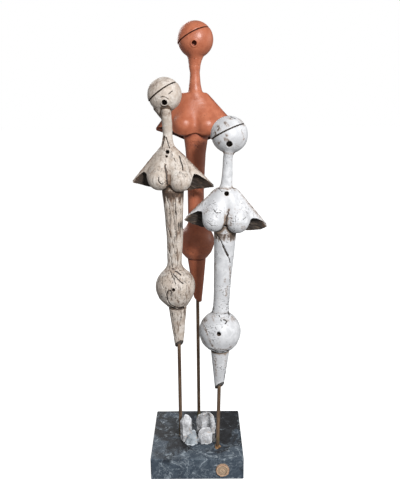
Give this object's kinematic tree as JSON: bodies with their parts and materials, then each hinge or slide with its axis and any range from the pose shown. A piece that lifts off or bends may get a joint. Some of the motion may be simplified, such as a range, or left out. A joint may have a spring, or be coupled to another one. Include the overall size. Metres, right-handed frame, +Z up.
{
  "type": "clay totem figure group",
  "caption": "Slender clay female figures with ball heads, skirted busts and ball hips, each turning on a thin rod set in a dark marble block with rough white stones.",
  "frame": {"origin": "centre of the marble block's underside, in the plane the object stands on", "axes": "+Z up along the rods; -Y is the front, the face with the maker's seal; +X to the right when that face is seen"},
  "size_m": [0.1686, 0.1347, 0.5922],
  "materials": {
    "marble": "honed dark blue-grey marble with pale veins",
    "bronze_rod": "dark brown patina",
    "white_clay": "white slip, matt, dark wash in cracks",
    "beige_clay": "beige slip, matt, brown wash in cracks",
    "terracotta": "burnished red-brown clay",
    "white_stone": "rough broken stone",
    "grey_stone": "rough broken stone",
    "seal_clay": "unglazed pressed clay",
    "glue": "hardened amber glue",
    "cap_rubber": "matt black",
    "filler": "hardened dark filler"
  },
  "bodies": {
    "root": {"marble_base": "marble", "makers_seal": "seal_clay", "stone_tall": "white_stone", "stone_slab": "white_stone", "stone_front": "white_stone", "stone_grey": "grey_stone", "stone_chip": "white_stone", "front_rod": "bronze_rod", "front_rod_bead": "glue", "left_rod": "bronze_rod", "left_rod_bead": "glue", "back_rod": "bronze_rod", "back_rod_bead": "glue"},
    "front_cap": {"front_rod_cap": "cap_rubber"},
    "front_figure": {"front_leg": "white_clay", "front_hip_ball": "white_clay", "front_waist": "white_clay", "front_bust": "white_clay", "front_neck": "white_clay", "front_head": "white_clay", "front_crown": "white_clay", "front_leg_guide": "filler", "front_rod_seat": "filler"},
    "left_cap": {"left_rod_cap": "cap_rubber"},
    "left_figure": {"left_leg": "beige_clay", "left_hip_ball": "beige_clay", "left_waist": "beige_clay", "left_bust": "beige_clay", "left_neck": "beige_clay", "left_head": "beige_clay", "left_crown": "beige_clay", "left_leg_guide": "filler", "left_rod_seat": "filler"},
    "back_cap": {"back_rod_cap": "cap_rubber"},
    "back_figure": {"back_leg": "terracotta", "back_hip_ball": "terracotta", "back_waist": "terracotta", "back_bust": "terracotta", "back_neck": "terracotta", "back_head": "terracotta", "back_crown": "terracotta", "back_leg_guide": "filler", "back_rod_seat": "filler"}
  },
  "joints": [
    {"name": "front_lift", "type": "slide", "parent": "root", "child": "front_cap", "axis": [0.0244, 0, 0.9997], "range_m": [0, 0.155]},
    {"name": "front_turn", "type": "hinge", "parent": "front_cap", "child": "front_figure", "pos_m": [0.0281, -0.034, 0.03], "axis": [0.0244, 0, 0.9997], "range_deg": [-20, 20]},
    {"name": "left_lift", "type": "slide", "parent": "root", "child": "left_cap", "axis": [0, 0, 1], "range_m": [0, 0.155]},
    {"name": "left_turn", "type": "hinge", "parent": "left_cap", "child": "left_figure", "pos_m": [-0.0237, -0.002, 0.03], "axis": [0, 0, 1], "range_deg": [-20, 20]},
    {"name": "back_lift", "type": "slide", "parent": "root", "child": "back_cap", "axis": [0, 0, 1], "range_m": [0, 0.155]},
    {"name": "back_turn", "type": "hinge", "parent": "back_cap", "child": "back_figure", "pos_m": [0.002, 0.044, 0.03], "axis": [0, 0, 1], "range_deg": [-20, 20]}
  ]
}
